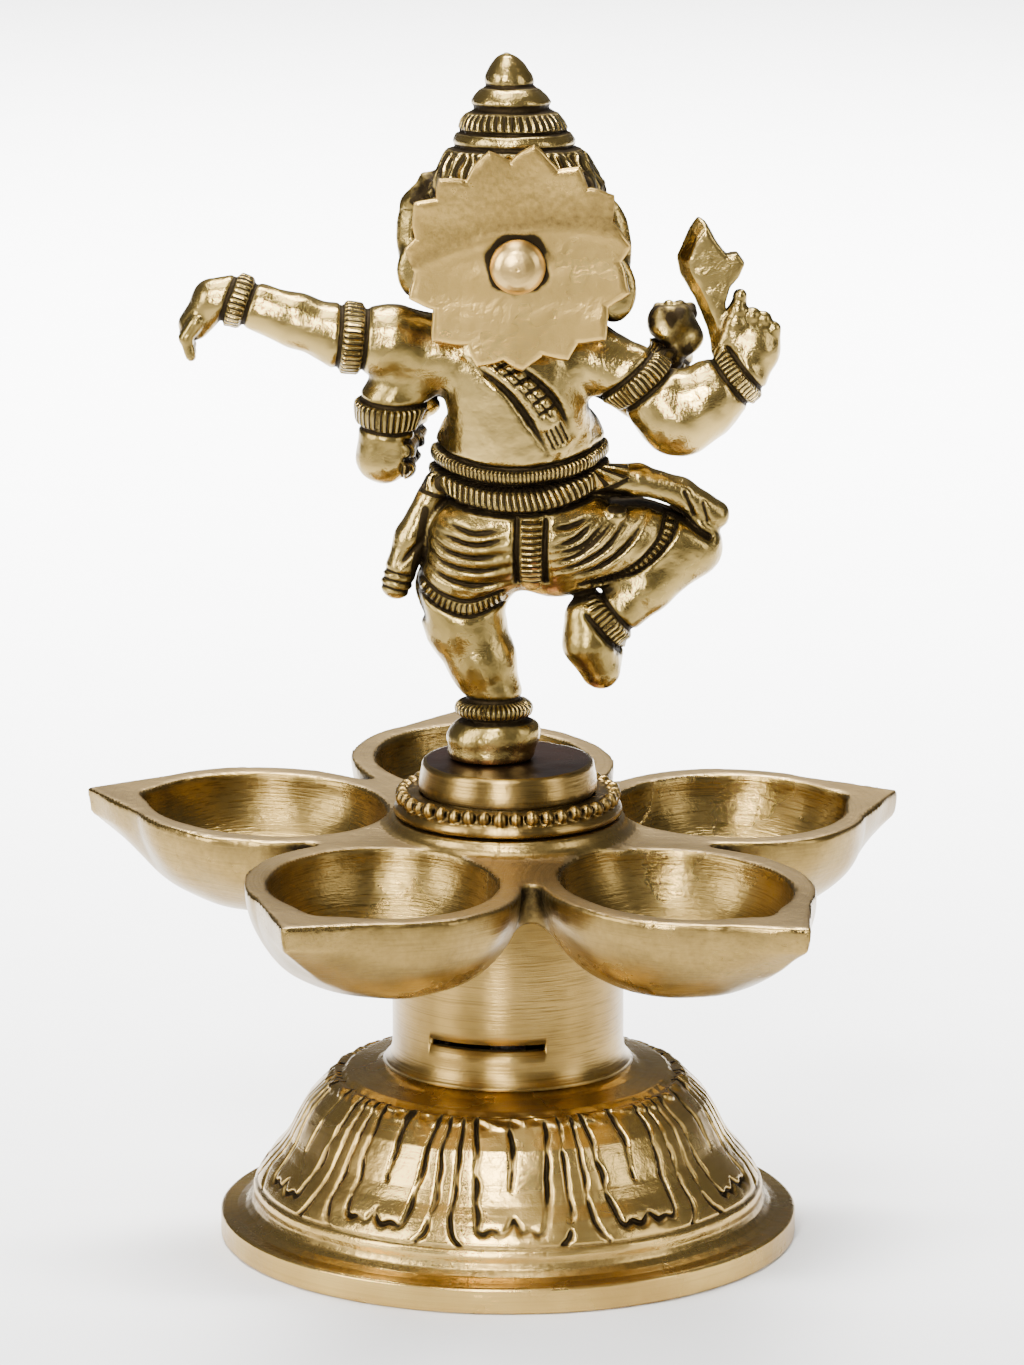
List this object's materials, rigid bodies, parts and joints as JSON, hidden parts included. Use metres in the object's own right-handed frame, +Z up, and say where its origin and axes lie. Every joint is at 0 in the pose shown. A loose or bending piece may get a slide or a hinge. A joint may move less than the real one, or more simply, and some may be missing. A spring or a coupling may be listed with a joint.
{
  "type": "oil lamp",
  "caption": "Brass oil lamp with a ring of leaf-shaped oil cups on a column, and a dancing elephant-headed figure with a round halo on a pedestal above them.",
  "frame": {"origin": "middle of the lamp's outer box, at the level of its base", "axes": "+Z up along the column; +Y is the way the figure faces; the halo is at its back"},
  "size_m": [0.1379, 0.1358, 0.2002],
  "materials": {
    "cast_brass": "cast and brushed, with dark patina in the grooves",
    "turned_brass": "turned and polished",
    "figure_brass": "antique, polished on the high places",
    "brass_plate": "satin",
    "zinc_steel": "zinc plated"
  },
  "bodies": {
    "stand": {"lotus_base": "cast_brass", "column": "turned_brass", "cup_tray": "cast_brass", "tie_bolt": "zinc_steel", "bolt_washer": "zinc_steel", "lock_washer": "zinc_steel"},
    "seat": {"seat_washer": "brass_plate"},
    "figure_group": {"pedestal": "turned_brass", "beaded_collar": "turned_brass", "figure_stud": "zinc_steel", "figure": "figure_brass", "halo_rivet": "turned_brass"},
    "halo": {"halo_disc": "brass_plate"}
  },
  "joints": [
    {"name": "pedestal_turn", "type": "hinge", "parent": "stand", "child": "seat", "pos_m": [0.002, -0.0039, 0.0723], "axis": [0, 0, 1], "range_deg": [0, 3240]},
    {"name": "pedestal_rise", "type": "slide", "parent": "seat", "child": "figure_group", "axis": [0, 0, 1], "range_m": [0, 0.0072]},
    {"name": "halo_turn", "type": "hinge", "parent": "figure_group", "child": "halo", "pos_m": [0.0036, -0.01595, 0.167], "axis": [0, 1, 0], "continuous": true}
  ],
  "couplings": [
    {"joint": "pedestal_rise", "follows": "pedestal_turn", "m_per_rad": 0.00012732}
  ]
}
